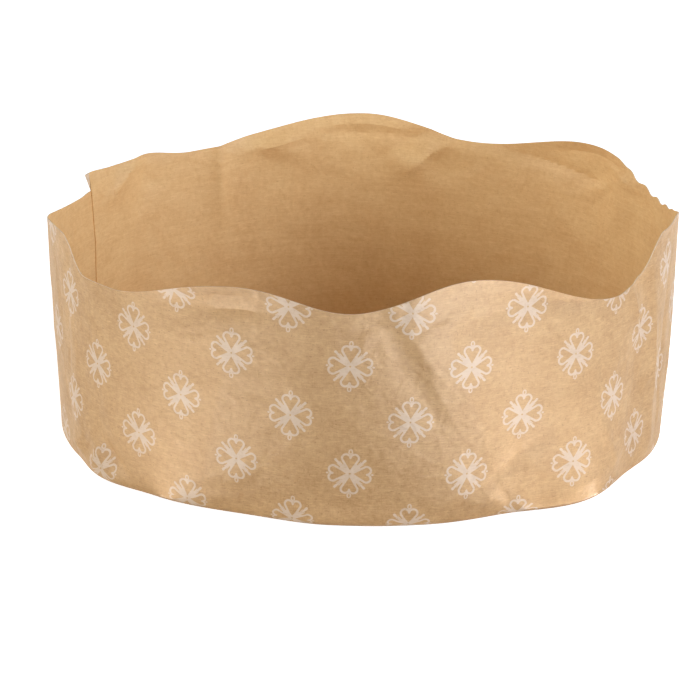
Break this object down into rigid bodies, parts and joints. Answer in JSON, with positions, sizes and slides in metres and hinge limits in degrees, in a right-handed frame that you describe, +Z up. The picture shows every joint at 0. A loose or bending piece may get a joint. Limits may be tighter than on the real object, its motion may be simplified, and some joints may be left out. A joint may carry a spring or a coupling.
{
  "type": "panettone mold",
  "caption": "Low round paper baking mould with a wavy cut rim, a lapped side seam and a pleated fold glued under a flat paper floor.",
  "frame": {"origin": "middle of the base, at the height of the table it stands on", "axes": "+Z up out of the mould's open top, -Y towards the front of the picture, +X to the right of the picture"},
  "size_m": [0.2004, 0.2015, 0.0767],
  "materials": {
    "printed_kraft": "light brown kraft paper with a faint sheen, printed outside in pale ink",
    "plain_kraft": "plain light brown kraft paper, matt"
  },
  "bodies": {
    "root": {"side_wall": "printed_kraft", "base_disc": "plain_kraft"}
  },
  "joints": []
}
